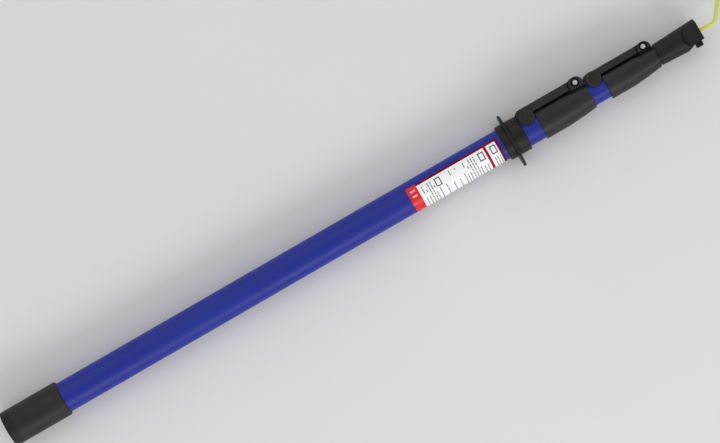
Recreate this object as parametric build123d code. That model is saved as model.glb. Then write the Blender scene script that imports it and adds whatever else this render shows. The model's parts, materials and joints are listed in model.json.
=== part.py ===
from build123d import *
import os
from math import acos, cos, degrees, pi, radians, sin, sqrt, tan
from types import SimpleNamespace

# Telescopic pole of a boat hook: three tubes, two lever clamps, a hand stop, a butt cap and a
# flat-sided nose with a lanyard.  Millimetres.  The pole's axis is X, from the butt's end face at
# X = 0 to the nose.  +Y is the side of the clamp levers, +Z is up, and the pole lies on a floor.

# ---- driving dimensions ----
# How far a cut runs past the face it opens on
overcut = 1.0

# Tubes
outer_tube_r = 19.0
tube_wall = 2.5
bush_wall = 0.75
key_width = 3.0
key_depth = 0.6
key_gap = 0.1

# Butt
foot_length = 12.0
foot_rounding = 1.5
butt_end_wall = 4.0
butt_cap_length = 76.2
butt_cap_wall = 3.0
butt_cap_rounding = 2.7
butt_plug_length = 30.0
butt_screw_r = 2.0
butt_screw_length = 38.0
butt_screw_head_r = 4.5
butt_screw_head_height = 2.6
butt_screw_recess_r = 6.0
butt_screw_recess_depth = 3.0
buffer_length = 4.0
buffer_r = 13.0

# Lengths along the pole
bare_grip_length = 601.8
collar_to_lever = 0.7
clamp_to_lever = 1.4
lever_overhang = 20.4
clamp_to_nose = 2.0

# Label
label_to_collar = 5.0
label_length = 123.0
label_glue = 0.05
label_thickness = 0.25
label_edge_height = 10.7
label_wrap_deg = 160.0

# Collar and hand stop
collar_wall = 3.0
collar_rear_length = 9.5
collar_front_length = 16.0
collar_rounding = 1.8
collar_groove_depth = 0.5
collar_groove_width = 1.2
collar_groove_inset = 3.0
plate_thickness = 3.0
plate_reach_up = 32.1
plate_reach_down = 35.6
plate_corner_r = 16.0
plate_edge_rounding = 1.1
grub_r = 1.5
grub_length = 2.2
grub_key_r = 0.75
grub_key_depth = 1.0

# Clamps
clamp_length = 69.4
clamp_straight = 31.0
clamp_bulge = 0.3
clamp_1_wall = 2.1
clamp_2_wall = 2.95
clamp_mouth_wall = 1.95
clamp_mouth_length = 2.5
clamp_edge_rounding = 0.7
clamp_front_depth = 35.0
slide_gap = 0.3
recess_wall = 1.0
ledge_gap = 2.8
pin_from_mouth = 9.2
pin_over_tube = 4.95
pin_r = 2.0
pin_head_r = 3.1
pin_head_height = 1.4
pin_well_r = 4.75
pin_well_depth = 1.2
pin_dimple_r = 1.0
pin_dimple_depth = 0.4
ear_drop = 2.5
clamp_1_ear_r = 9.3
clamp_2_ear_r = 8.5
ear_inset = 2.2
window_step = 0.1
rivet_from_rear = 17.0
rivet_angle_deg = 35.0
rivet_r = 1.6
rivet_head_r = 3.0
rivet_head_height = 1.0
rivet_head_proud = 0.5

# Bushes, guides and stop rings
bush_length = 30.0
running_gap = 0.08
guide_flange_length = 4.0
guide_spigot_length = 12.0
guide_bore_r = 7.0
guide_vent_r = 2.0
end_gap = 0.3
rear_step = 29.7
stop_ring_back = 140.0
stop_ring_length = 8.0

# Levers, cams and shoes
lever_over_pin = 5.0
lever_corner_r = 6.5
lever_edge_rounding = 2.0
lever_web = 4.2
lever_1_drop = 3.6
lever_2_drop = 2.25
cheek_gap = 0.5
cheek_thickness = 3.0
lobe_overhang = 10.0
lobe_r = 9.5
lobe_wall = 2.4
lobe_gap = 0.4
lobe_1_drop = 7.4
lobe_2_drop = 4.05
lobe_edge_rounding = 0.6
grip_pad_r = 6.4
grip_pad_sink = 0.8
grip_pad_proud = 0.3
ear_clearance = 1.6
hub_gap = 0.35
hub_r = 6.0
hub_from_deg = 75.0
cam_r = 3.3
cam_throw = 0.4
cam_gap = 0.05
pin_gap = 0.06
shoe_rear = 6.5
shoe_front_gap = 0.4
shoe_side_gap = 0.5

# Nose
nose_sleeve_length = 31.8
nose_head_length = 25.3
nose_sleeve_wall = 1.2
nose_flare = 0.05
nose_socket_rounding = 0.6
nose_spigot_length = 20.0
nose_flat_half = 11.0
nose_flat_sweep_r = 17.8
nose_flat_sweep_from_end = 6.2
nose_cut_depth = 11.0
nose_ramp_length = 10.8
nose_ramp_from_end = 22.8
nose_end_rounding = 1.2
lug_from_end = 3.5
lug_length = 8.5
lug_reach = 17.0
lug_half_width = 4.5
lug_rounding = 1.0
nose_screw_from_rear = 17.6
nose_screw_r = 1.5
nose_screw_head_r = 2.6
nose_screw_head_height = 1.2
nose_screw_reach = 6.0

# Lanyard: the route's points are measured from where it leaves the nose, along X and Y, with the
# share of the drop to the floor that each point has made.
cord_r = 2.5
cord_channel_gap = 0.3
fairlead_length = 6.0
fairlead_wall = 1.5
fairlead_gap = 0.1
stopper_knot_r = 6.5
cord_route = [
    (0.0, 0.0, 0.0),
    (21.0, -0.5, 0.08),
    (35.8, 17.1, 0.54),
    (48.4, 33.9, 1.0),
    (59.6, 50.5, 1.0),
]
arc_share = 0.45
coil_outer_turn_r = 35.0
coil_inner_turn_r = 17.5
coil_layers = 3
tie_thickness = 1.2
tie_width = 9.0
tie_angle_deg = 0.0
end_knot_r = 5.5

# ---- derived places and radii ----
middle_tube_r = outer_tube_r - tube_wall - bush_wall
tip_tube_r = middle_tube_r - tube_wall - bush_wall
butt_r = outer_tube_r + butt_cap_wall
collar_r = outer_tube_r + collar_wall
floor_z = -butt_r
outer_tube_start = foot_length + butt_end_wall
plug_end = outer_tube_start + butt_plug_length
buffer_end = plug_end + buffer_length
collar_x = butt_cap_length + bare_grip_length
plate_x = collar_x + collar_rear_length
collar_front_x = plate_x + plate_thickness
collar_end = collar_front_x + collar_front_length
clamp_1_x = collar_end + collar_to_lever + lever_overhang
clamp_2_x = clamp_1_x + clamp_length + clamp_to_lever + lever_overhang
nose_x = clamp_2_x + clamp_length + clamp_to_nose
nose_head_x = nose_x + nose_sleeve_length
nose_end = nose_head_x + nose_head_length
middle_rear = buffer_end + end_gap
tip_rear = middle_rear + rear_step
label_end = collar_x - label_to_collar
label_x = label_end - label_length


# ---- shapes that many pieces share ----
def rod(radius, x0, x1):
    """Cylinder about the pole's axis, from x0 to x1."""
    bar = Cylinder(radius, x1 - x0, align=(Align.CENTER, Align.CENTER, Align.MIN))
    return Pos(x0, 0, 0) * Rot(0, 90, 0) * bar


def pipe(inner, outer, x0, x1):
    """Tube about the pole's axis."""
    return rod(outer, x0, x1) - rod(inner, x0, x1)


def block(x0, x1, y0, y1, z0, z1):
    """Box between two corners."""
    box = Box(x1 - x0, y1 - y0, z1 - z0, align=(Align.MIN, Align.MIN, Align.MIN))
    return Pos(x0, y0, z0) * box


def across(radius, x, y, z0, z1):
    """Cylinder along Z, across the pole."""
    bar = Cylinder(radius, z1 - z0, align=(Align.CENTER, Align.CENTER, Align.MIN))
    return Pos(x, y, z0) * bar


def down_from(radius, x, r0, r1, turn=0.0):
    """Radial pin from radius r0 to r1 under the pole, turned about X from straight down."""
    bar = Cylinder(radius, r1 - r0, align=(Align.CENTER, Align.CENTER, Align.MAX))
    return Rot(turn, 0, 0) * Pos(x, 0, -r0) * bar


def rounded(face, corners):
    """Face with some of its corners rounded: corners are (x, y, rounding)."""
    for x, y, rounding in corners:
        if rounding > 0:
            corner = face.vertices().sort_by_distance((x, y, 0))[0]
            face = fillet(corner, rounding)
    return face


def turned(outline):
    """Solid turned about the pole's axis: corners are (x, radius, rounding)."""
    face = make_face(Polyline(*[(x, r) for x, r, _ in outline], close=True))
    return revolve(rounded(face, outline), Axis.X)


def key_groove(tube_r, x0, x1):
    """Groove under a sliding tube, which keeps it from turning."""
    half = key_width / 2
    return block(x0, x1, -half, half, -tube_r - key_depth, -tube_r + key_depth)


# ---- butt ----
def butt_foot():
    foot = turned([
        (0, 0, 0),
        (0, butt_r, foot_rounding),
        (foot_length, butt_r, 0),
        (foot_length, 0, 0),
    ])
    foot -= rod(butt_screw_recess_r, 0, butt_screw_recess_depth)
    return foot - rod(butt_screw_r, 0, foot_length)


def butt_cap():
    cap = turned([
        (foot_length, 0, 0),
        (foot_length, butt_r, 0),
        (butt_cap_length, butt_r, butt_cap_rounding),
        (butt_cap_length, outer_tube_r, 0),
        (outer_tube_start, outer_tube_r, 0),
        (outer_tube_start, 0, 0),
    ])
    return cap - rod(butt_screw_r, foot_length, outer_tube_start)


def butt_plug():
    plug = rod(outer_tube_r - tube_wall, outer_tube_start, plug_end)
    return plug - rod(butt_screw_r, outer_tube_start, plug_end)


def butt_screw():
    head_x = butt_screw_recess_depth - butt_screw_head_height
    screw = rod(butt_screw_head_r, head_x, butt_screw_recess_depth)
    screw += rod(butt_screw_r, butt_screw_recess_depth, butt_screw_length)
    key = extrude(RegularPolygon(butt_screw_r, 6), butt_screw_head_height / 2)
    return screw - Pos(head_x, 0, 0) * Rot(0, 90, 0) * key


def butt_buffer():
    return turned([
        (plug_end, 0, 0),
        (plug_end, buffer_r, 0),
        (buffer_end, buffer_r, buffer_length / 3),
        (buffer_end, 0, 0),
    ])


# ---- handle tube, label and hand stop ----
def outer_tube():
    return pipe(outer_tube_r - tube_wall, outer_tube_r, outer_tube_start, clamp_1.tube_end)


def label():
    """Thin film round the tube, from its upper edge over the top and down the far side."""
    inner = outer_tube_r + label_glue
    outer = inner + label_thickness
    strip = make_face(Polyline(
        (label_x, inner), (label_end, inner), (label_end, outer), (label_x, outer), close=True,
    ))
    edge_deg = degrees(acos(label_edge_height / outer))
    return revolve(Rot(edge_deg, 0, 0) * strip, Axis.X, label_wrap_deg)


def grub_hole(x):
    return down_from(grub_r, x, outer_tube_r, collar_r + overcut)


def grub_screw(x):
    screw = down_from(grub_r, x, outer_tube_r, outer_tube_r + grub_length)
    socket_r = outer_tube_r + grub_length
    return screw - down_from(grub_key_r, x, socket_r - grub_key_depth, socket_r)


def collar_rear_ring():
    ring = turned([
        (collar_x, outer_tube_r, 0),
        (collar_x, collar_r, collar_rounding),
        (plate_x, collar_r, 0),
        (plate_x, outer_tube_r, 0),
    ])
    return ring - grub_hole(collar_x + collar_rear_length / 2)


def collar_front_ring():
    ring = turned([
        (collar_front_x, outer_tube_r, 0),
        (collar_front_x, collar_r, 0),
        (collar_end, collar_r, collar_rounding),
        (collar_end, outer_tube_r, 0),
    ])
    groove_end = collar_end - collar_groove_inset
    groove_start = groove_end - collar_groove_width
    ring -= pipe(collar_r - collar_groove_depth, collar_r + overcut, groove_start, groove_end)
    return ring - grub_hole(collar_front_x + collar_front_length / 2)


def collar_grub_screws():
    rear = grub_screw(collar_x + collar_rear_length / 2)
    return rear + grub_screw(collar_front_x + collar_front_length / 2)


def wing_plate():
    """Flat hand stop with two wings.  Its lower edge is flat, level with the collar's underside."""
    height = plate_reach_up + plate_reach_down
    centre_y = (plate_reach_up - plate_reach_down) / 2
    outline = RectangleRounded(height, 2 * collar_r, plate_corner_r)
    plate = extrude(outline, plate_thickness)
    rims = plate.edges().group_by(Axis.Z)
    plate = fillet(rims[0] + rims[-1], plate_edge_rounding)
    plate = Pos(plate_x, centre_y, 0) * Rot(0, 90, 0) * Rot(0, 0, 90) * plate
    return plate - rod(outer_tube_r, plate_x, collar_front_x)


# ---- clamps ----
def clamp_sizes(x, held_r, slide_r, wall, ear_r, drop, lobe_drop):
    """Places and radii of one clamp, which is fixed on one tube and grips the next."""
    c = SimpleNamespace(x=x, held_r=held_r, slide_r=slide_r, ear_r=ear_r)
    c.end = x + clamp_length
    c.tube_end = c.end - clamp_front_depth
    c.body_r = held_r + wall
    c.mouth_r = slide_r + clamp_mouth_wall
    c.bore_r = slide_r + slide_gap
    c.recess_r = held_r + recess_wall
    c.pin_x = c.end - pin_from_mouth
    c.pin_y = slide_r + pin_over_tube
    c.arm_low = held_r - drop
    c.arm_top = c.pin_y + lever_over_pin
    c.ledge = c.arm_low - ledge_gap
    c.cheek_in = sqrt((c.recess_r + cheek_gap) ** 2 - c.arm_low**2)
    c.cheek_out = c.cheek_in + cheek_thickness
    c.ear_in = c.cheek_in - ear_inset
    c.hub_half = c.ear_in - hub_gap
    c.lever_x = x - lever_overhang
    c.lobe_x = x - lobe_overhang
    c.lobe_y = c.pin_y - lobe_drop
    c.lobe_out = held_r + lobe_wall
    c.swing_r = ear_r + ear_clearance
    c.shoe_top = c.pin_y - cam_r - cam_throw - cam_gap
    c.bush_x = c.tube_end - bush_length
    return c


clamp_1 = clamp_sizes(
    clamp_1_x, outer_tube_r, middle_tube_r, clamp_1_wall, clamp_1_ear_r, lever_1_drop, lobe_1_drop,
)
clamp_2 = clamp_sizes(
    clamp_2_x, middle_tube_r, tip_tube_r, clamp_2_wall, clamp_2_ear_r, lever_2_drop, lobe_2_drop,
)


def clamp_body(c):
    """Sleeve with a convex taper, a recessed back for the lever, two ears and a shoe window."""
    shoulder_x = c.x + clamp_straight
    body = turned([
        (c.x, 0, 0),
        (c.x, c.body_r, clamp_edge_rounding),
        (shoulder_x, c.body_r, 0),
        ((shoulder_x + c.end) / 2, (c.body_r + c.mouth_r) / 2 + clamp_bulge, 0),
        (c.end, c.mouth_r, clamp_edge_rounding),
        (c.end, 0, 0),
    ])
    back = block(c.x, c.end, c.ledge, c.body_r + overcut, -c.body_r, c.body_r)
    body -= back - rod(c.recess_r, c.x, c.end)
    for side in (-1, 1):
        z0, z1 = sorted((side * c.ear_in, side * c.cheek_out))
        body += across(c.ear_r, c.pin_x, c.pin_y - ear_drop, z0, z1)
    body -= rod(c.bore_r, c.x, c.end + overcut)
    body -= rod(c.held_r, c.x, c.tube_end)
    window_end = c.end - clamp_mouth_length
    half = c.ear_in - window_step
    body -= block(c.pin_x - c.swing_r, window_end, 0, c.arm_top + ear_drop, -half, half)
    body -= across(pin_r, c.pin_x, c.pin_y, -c.cheek_out, c.cheek_out)
    well = c.cheek_out - pin_well_depth
    body -= across(pin_well_r, c.pin_x, c.pin_y, well, c.cheek_out)
    body -= across(pin_well_r, c.pin_x, c.pin_y, -c.cheek_out, -well)
    for turn in (-rivet_angle_deg, rivet_angle_deg):
        body -= rivet(c, turn, c.body_r + overcut)
    return body


def rivet(c, turn, head_top):
    """Blind rivet through the clamp and its tube, flush with the tube's bore."""
    x = c.x + rivet_from_rear
    seat = c.body_r + rivet_head_proud - rivet_head_height
    shank = down_from(rivet_r, x, c.held_r - tube_wall, seat, turn)
    return shank + down_from(rivet_head_r, x, seat, head_top, turn)


def clamp_rivets(c):
    """Two rivets on the underside."""
    bore = rod(c.held_r - tube_wall, c.x, c.tube_end)
    head_top = c.body_r + rivet_head_proud
    left = rivet(c, -rivet_angle_deg, head_top)
    right = rivet(c, rivet_angle_deg, head_top)
    return (left - bore) + (right - bore)


def rivet_holes(c):
    x = c.x + rivet_from_rear
    holes = Part()
    for turn in (-rivet_angle_deg, rivet_angle_deg):
        holes += down_from(rivet_r, x, c.held_r - 2 * tube_wall, c.held_r + overcut, turn)
    return holes


def clamp_bush(c):
    """Plain bush in the tube's mouth, with a key for the sliding tube's groove."""
    bush = pipe(c.slide_r + running_gap, c.held_r - tube_wall, c.bush_x, c.tube_end)
    half = key_width / 2 - key_gap
    key_root = -c.slide_r - slide_gap
    key_top = -c.slide_r + key_depth - key_gap
    key = block(c.bush_x, c.tube_end, -half, half, key_root, key_top)
    return bush + key


def clamp_pin(c):
    """Pivot pin with a domed head in each ear's well."""
    well = c.cheek_out - pin_well_depth
    pin = across(pin_r, c.pin_x, c.pin_y, -well, well)
    for side in (-1, 1):
        z0, z1 = sorted((side * well, side * (well + pin_head_height)))
        pin += across(pin_head_r, c.pin_x, c.pin_y, z0, z1)
        top = side * (well + pin_head_height)
        z0, z1 = sorted((top, top - side * pin_dimple_depth))
        pin -= across(pin_dimple_r, c.pin_x, c.pin_y, z0, z1)
    return pin


def clamp_shoe(c):
    """Pad between the lever's cam and the sliding tube, in the clamp's window."""
    front = c.end - clamp_mouth_length - shoe_front_gap
    half = c.ear_in - shoe_side_gap
    shoe = block(c.pin_x - shoe_rear, front, c.slide_r / 2, c.shoe_top, -half, half)
    return shoe - rod(c.slide_r + cam_gap, c.x, c.end)


def lever_hub(c):
    """Cam about the pivot, with its high side on the shoe, and the quarter that joins it to the arm."""
    half = c.hub_half
    cam = across(cam_r, c.pin_x, c.pin_y - cam_throw, -half, half)
    quarter = across(hub_r, c.pin_x, c.pin_y, -half, half)
    reach = 2 * hub_r
    start = radians(hub_from_deg)
    wedge = make_face(Polyline(
        (0, 0),
        (reach * cos(start), reach * sin(start)),
        (-reach, reach * sin(start)),
        (-reach, 0),
        close=True,
    ))
    wedge = Pos(c.pin_x, c.pin_y, -half) * extrude(wedge, 2 * half)
    return cam + (quarter & wedge)


def lever(c):
    """Saddle-shaped lever with a rounded thumb end, lying over the tube, and its cam hub."""
    left = c.lever_x
    side = make_face(Polyline(
        (left, c.lobe_y), (left, c.arm_top), (c.pin_x, c.arm_top), (c.pin_x, c.lobe_y), close=True,
    ))
    side = rounded(side, [(left, c.arm_top, lever_corner_r)])
    side = Pos(0, 0, -c.lobe_out) * extrude(side, 2 * c.lobe_out)
    saddle = block(left, c.pin_x, c.arm_low, c.arm_top, -c.cheek_out, c.cheek_out)
    saddle = fillet(
        saddle.edges().filter_by(Axis.X).group_by(Axis.Y)[-1], lever_edge_rounding,
    )
    web_low = c.arm_top - lever_web
    saddle -= block(left, c.pin_x, c.arm_low, web_low, -c.cheek_in, c.cheek_in)
    arm = saddle & side
    lobe = across(lobe_r, c.lobe_x, c.lobe_y, -c.lobe_out, c.lobe_out)
    lobe = fillet(lobe.edges().filter_by(GeomType.CIRCLE), lobe_edge_rounding)
    arm += lobe
    arm -= rod(c.held_r + lobe_gap, left - overcut, c.lobe_x + 2 * lobe_r)
    for end in (-1, 1):
        z0, z1 = sorted((end * c.hub_half, end * (c.cheek_out + overcut)))
        arm -= across(c.swing_r, c.pin_x, c.pin_y, z0, z1)
    arm += lever_hub(c)
    arm -= across(pin_r + pin_gap, c.pin_x, c.pin_y, -c.hub_half, c.hub_half)
    sink = c.lobe_out - grip_pad_sink
    arm -= across(grip_pad_r, c.lobe_x, c.lobe_y, sink, c.lobe_out + overcut)
    arm -= across(grip_pad_r, c.lobe_x, c.lobe_y, -c.lobe_out - overcut, -sink)
    return arm


def grip_pads(c):
    """Round rubber pads let into the two sides of the lever's thumb end."""
    sink = c.lobe_out - grip_pad_sink
    top = c.lobe_out + grip_pad_proud
    upper = across(grip_pad_r, c.lobe_x, c.lobe_y, sink, top)
    lower = across(grip_pad_r, c.lobe_x, c.lobe_y, -top, -sink)
    return (upper + lower) - rod(c.held_r + lobe_gap, c.lobe_x - lobe_r, c.lobe_x + lobe_r)


# ---- sliding sections ----
def middle_tube():
    start = middle_rear + guide_flange_length
    tube = pipe(middle_tube_r - tube_wall, middle_tube_r, start, clamp_2.tube_end)
    tube -= key_groove(middle_tube_r, middle_rear, clamp_2.tube_end)
    return tube - rivet_holes(clamp_2)


def tip_tube():
    tube = pipe(tip_tube_r - tube_wall, tip_tube_r, tip_rear + guide_flange_length, nose_head_x)
    tube -= key_groove(tip_tube_r, tip_rear, nose_x)
    return tube - nose_screw(nose_screw_head_height)


def rear_guide(rear, tube_r, sleeve_r, bore_r):
    """Plug in a sliding tube's rear end, whose flange runs in the tube outside it."""
    flange_end = rear + guide_flange_length
    guide = rod(sleeve_r - tube_wall - running_gap, rear, flange_end)
    guide += rod(tube_r - tube_wall, flange_end, flange_end + guide_spigot_length)
    return guide - rod(bore_r, rear, flange_end + guide_spigot_length)


def stop_ring(rear, tube_r, sleeve_r):
    """Ring on a sliding tube, which meets the bush at full stretch."""
    start = rear + stop_ring_back
    return pipe(tube_r, sleeve_r - tube_wall - running_gap, start, start + stop_ring_length)


# ---- nose ----
def nose_radius(x):
    """Outer radius of the flared nose."""
    return tip_tube_r + nose_sleeve_wall + nose_flare * (x - nose_x)


def nose_screw(head_height):
    """Countersunk screw from below, through the sleeve and the tube into the spigot."""
    x = nose_x + nose_screw_from_rear
    top = nose_radius(x)
    screw = down_from(nose_screw_r, x, nose_screw_reach, top)
    return screw + down_from(nose_screw_head_r, x, top - head_height, top + head_height)


def nose_screw_piece():
    x = nose_x + nose_screw_from_rear
    screw = nose_screw(nose_screw_head_height) & rod(nose_radius(x), nose_x, nose_head_x)
    return screw - down_from(grub_key_r, x, nose_radius(x) - grub_key_depth, nose_radius(x) + overcut)


def nose_sleeve():
    sleeve = turned([
        (nose_x, tip_tube_r, 0),
        (nose_x, nose_radius(nose_x), nose_socket_rounding),
        (nose_head_x, nose_radius(nose_head_x), 0),
        (nose_head_x, tip_tube_r, 0),
    ])
    return sleeve - nose_screw(nose_screw_head_height)


def nose_head():
    """Flat-sided tongue for tools, with a lug under it, on a spigot in the tip tube."""
    head = turned([
        (nose_head_x, 0, 0),
        (nose_head_x, nose_radius(nose_head_x), 0),
        (nose_end, nose_radius(nose_end), nose_end_rounding),
        (nose_end, 0, 0),
    ])
    width = 2 * nose_radius(nose_end)
    sweep_x = nose_end - nose_flat_sweep_from_end
    for side in (-1, 1):
        z0, z1 = sorted((side * nose_flat_half, side * width))
        slab = block(sweep_x, nose_end + overcut, -width, width, z0, z1)
        head -= slab + across(nose_flat_sweep_r, sweep_x, 0, z0, z1)
    ramp_x = nose_end - nose_ramp_from_end
    cut = make_face(Polyline(
        (ramp_x, -nose_radius(ramp_x)),
        (ramp_x + nose_ramp_length, -nose_cut_depth),
        (nose_end + overcut, -nose_cut_depth),
        (nose_end + overcut, -width),
        (ramp_x, -width),
        close=True,
    ))
    head -= Pos(0, 0, -width) * extrude(cut, 2 * width)
    lug_end = nose_end - lug_from_end
    lug_start = lug_end - lug_length
    lug_root = -nose_cut_depth + overcut
    lug = block(lug_start, lug_end, -lug_reach, lug_root, -lug_half_width, lug_half_width)
    lug = fillet(lug.edges().filter_by(Axis.Z).group_by(Axis.Y)[0], lug_rounding)
    head += lug
    head += rod(tip_tube_r - tube_wall, nose_head_x - nose_spigot_length, nose_head_x)
    head -= rod(cord_r + cord_channel_gap, nose_head_x - nose_spigot_length, nose_end)
    head -= rod(cord_r + fairlead_gap + fairlead_wall, nose_end - fairlead_length, nose_end)
    return head - nose_screw(nose_screw_head_height)


# ---- lanyard ----
def cord_fairlead():
    inner = cord_r + fairlead_gap
    return pipe(inner, inner + fairlead_wall, nose_end - fairlead_length, nose_end)


def cord_stopper_knot():
    rear = nose_head_x - nose_spigot_length
    ball = Pos(rear - stopper_knot_r, 0, 0) * Sphere(stopper_knot_r)
    return ball + rod(cord_r + cord_channel_gap, rear - stopper_knot_r, rear)


def cord_inner():
    return rod(cord_r, nose_head_x - nose_spigot_length, nose_end)


def route_points():
    """The lanyard's route as vectors, from the nose down to the floor."""
    drop = butt_r - cord_r
    return [Vector(nose_end + x, y, -drop * share) for x, y, share in cord_route]


def cord_path():
    """Straight runs joined by tangent arcs, each as large as its two runs allow."""
    points = route_points()
    radii = []
    for before, here, after in zip(points, points[1:], points[2:]):
        turn = (here - before).get_angle(after - here)
        shorter = min((here - before).length, (after - here).length)
        radii.append(arc_share * shorter / tan(radians(turn) / 2))
    return FilletPolyline(*points, radius=radii), radii


def cord_tube(path):
    section = Plane(origin=path @ 0, z_dir=path % 0) * Circle(cord_r)
    return sweep(section, path)


def cord_run():
    path, radii = cord_path()
    run = cord_tube(path)
    print("lanyard arcs, radius in mm:", [round(r, 1) for r in radii])
    print("lanyard volume over section times length:", run.volume / (pi * cord_r**2 * path.length))
    return run - cord_inner()


def coil_centre():
    """The outermost turn goes on from the end of the run, curling to the right."""
    points = route_points()
    along = (points[-1] - points[-2]).normalized()
    right = Vector(along.Y, -along.X, 0)
    return points[-1] + right * coil_outer_turn_r


def coil_ring(grow, lift):
    """Outer shape of the turns, grown on every side and lifted."""
    inner = coil_inner_turn_r - cord_r - grow
    outer = coil_outer_turn_r + cord_r + grow
    height = 2 * cord_r * coil_layers + 2 * grow
    ring = Cylinder(outer, height) - Cylinder(inner, height)
    middle_z = floor_z + cord_r * coil_layers + lift
    centre = coil_centre()
    return Pos(centre.X, centre.Y, middle_z) * ring


def tie_band():
    """Slab across one side of the coil, as wide as the tie."""
    centre = coil_centre()
    reach = 2 * coil_outer_turn_r
    slab = Box(reach, tie_width, 2 * reach, align=(Align.MIN, Align.CENTER, Align.CENTER))
    return Pos(centre.X, centre.Y, 0) * Rot(0, 0, tie_angle_deg) * slab


def cord_coil():
    """One solid round all the turns, which pass over the tie on the floor."""
    under_tie = coil_ring(0, tie_thickness) & tie_band()
    return (coil_ring(0, 0) - tie_band()) + under_tie - cord_tube(cord_path()[0])


def cord_tie():
    loop = coil_ring(tie_thickness, tie_thickness) - coil_ring(0, tie_thickness)
    return loop & tie_band()


def cord_end_knot():
    """Knot in the middle of the coil, with the last of the cord from the innermost turn."""
    centre = coil_centre()
    ball_z = floor_z + end_knot_r
    knot = Pos(centre.X, centre.Y, ball_z) * Sphere(end_knot_r)
    tail = Pos(centre.X, centre.Y, ball_z) * Rot(0, -90, 0) * Cylinder(
        cord_r, coil_inner_turn_r, align=(Align.CENTER, Align.CENTER, Align.MIN),
    )
    return knot + (tail - coil_ring(0, 0))


def write_parts():
    pieces = {
        "butt_foot": butt_foot(),
        "butt_cap": butt_cap(),
        "butt_plug": butt_plug(),
        "butt_screw": butt_screw(),
        "butt_buffer": butt_buffer(),
        "outer_tube": outer_tube() - rivet_holes(clamp_1),
        "label": label(),
        "collar_rear_ring": collar_rear_ring(),
        "wing_plate": wing_plate(),
        "collar_front_ring": collar_front_ring(),
        "collar_grub_screws": collar_grub_screws(),
        "middle_tube": middle_tube(),
        "middle_rear_guide": rear_guide(middle_rear, middle_tube_r, outer_tube_r, guide_bore_r),
        "middle_stop_ring": stop_ring(middle_rear, middle_tube_r, outer_tube_r),
        "tip_tube": tip_tube(),
        "tip_rear_guide": rear_guide(tip_rear, tip_tube_r, middle_tube_r, guide_vent_r),
        "tip_stop_ring": stop_ring(tip_rear, tip_tube_r, middle_tube_r),
        "nose_sleeve": nose_sleeve(),
        "nose_head": nose_head(),
        "nose_screw": nose_screw_piece(),
        "cord_fairlead": cord_fairlead(),
        "cord_stopper_knot": cord_stopper_knot(),
        "cord_inner": cord_inner(),
        "cord_run": cord_run(),
        "cord_coil": cord_coil(),
        "cord_tie": cord_tie(),
        "cord_end_knot": cord_end_knot(),
    }
    for number, c in ((1, clamp_1), (2, clamp_2)):
        pieces[f"clamp_{number}_body"] = clamp_body(c)
        pieces[f"clamp_{number}_rivets"] = clamp_rivets(c)
        pieces[f"clamp_{number}_bush"] = clamp_bush(c)
        pieces[f"clamp_{number}_pin"] = clamp_pin(c)
        pieces[f"clamp_{number}_shoe"] = clamp_shoe(c)
        pieces[f"lever_{number}"] = lever(c)
        pieces[f"lever_{number}_grip_pads"] = grip_pads(c)
    os.makedirs("parts", exist_ok=True)
    for name, piece in pieces.items():
        export_step(piece, f"parts/{name}.step")


write_parts()
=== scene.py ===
import json
import math

import bmesh
import bpy
import numpy as np
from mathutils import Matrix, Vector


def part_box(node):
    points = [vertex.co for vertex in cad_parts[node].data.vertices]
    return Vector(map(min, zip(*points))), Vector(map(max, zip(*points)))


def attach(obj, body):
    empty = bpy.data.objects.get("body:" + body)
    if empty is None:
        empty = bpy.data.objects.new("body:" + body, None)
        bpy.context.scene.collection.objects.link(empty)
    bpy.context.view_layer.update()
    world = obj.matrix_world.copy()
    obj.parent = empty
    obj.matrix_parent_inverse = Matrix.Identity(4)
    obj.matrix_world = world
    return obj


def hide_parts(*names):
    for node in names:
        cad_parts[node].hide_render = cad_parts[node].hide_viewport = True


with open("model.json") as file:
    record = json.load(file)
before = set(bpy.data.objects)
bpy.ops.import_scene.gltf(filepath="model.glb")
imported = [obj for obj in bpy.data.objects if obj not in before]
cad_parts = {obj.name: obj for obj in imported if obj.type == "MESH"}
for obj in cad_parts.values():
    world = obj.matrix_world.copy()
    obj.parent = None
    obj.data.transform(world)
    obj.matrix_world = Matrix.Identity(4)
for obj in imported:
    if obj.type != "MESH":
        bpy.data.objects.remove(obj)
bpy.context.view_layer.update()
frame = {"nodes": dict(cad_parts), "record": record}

# Finishes, print, braided lanyard, studio and camera for a telescopic boat hook pole.
# Metres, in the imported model's frame: the pole's axis is X, +Y is the levers' side, +Z is up.

MM = 0.001

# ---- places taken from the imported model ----
FLOOR_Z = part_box("butt_cap")[0].z
LABEL_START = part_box("label")[0].x
LABEL_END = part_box("label")[1].x
LABEL_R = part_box("label")[1].z
NOSE_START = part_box("nose_sleeve")[0].x
NOSE_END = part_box("nose_head")[1].x
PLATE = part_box("wing_plate")


def pin_axis(number):
    """Where a clamp's upright pin stands, in x and y."""
    low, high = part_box(f"clamp_{number}_pin")
    return (low.x + high.x) / 2, (low.y + high.y) / 2


# ---- mesh making ----
def new_piece(name, points, faces, finish, smooth=True):
    """New object from an array of points and a list of faces, placed at the origin."""
    mesh = bpy.data.meshes.new(name)
    mesh.from_pydata(points.reshape(-1, 3).tolist(), [], faces)
    mesh.polygons.foreach_set("use_smooth", np.full(len(mesh.polygons), smooth))
    mesh.materials.append(finish)
    mesh.update()
    obj = bpy.data.objects.new(name, mesh)
    bpy.context.collection.objects.link(obj)
    return obj


def grid_quads(rows, columns, wrap, ring=False):
    """Faces of a grid numbered row by row; wrap joins the last column to the first, ring the last row."""
    i = np.arange(rows if ring else rows - 1)[:, None]
    j = np.arange(columns if wrap else columns - 1)[None, :]
    k = (j + 1) % columns
    after = (i + 1) % rows
    quads = [i * columns + j, i * columns + k, after * columns + k, after * columns + j]
    return np.stack(quads, axis=-1).reshape(-1, 4)


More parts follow.
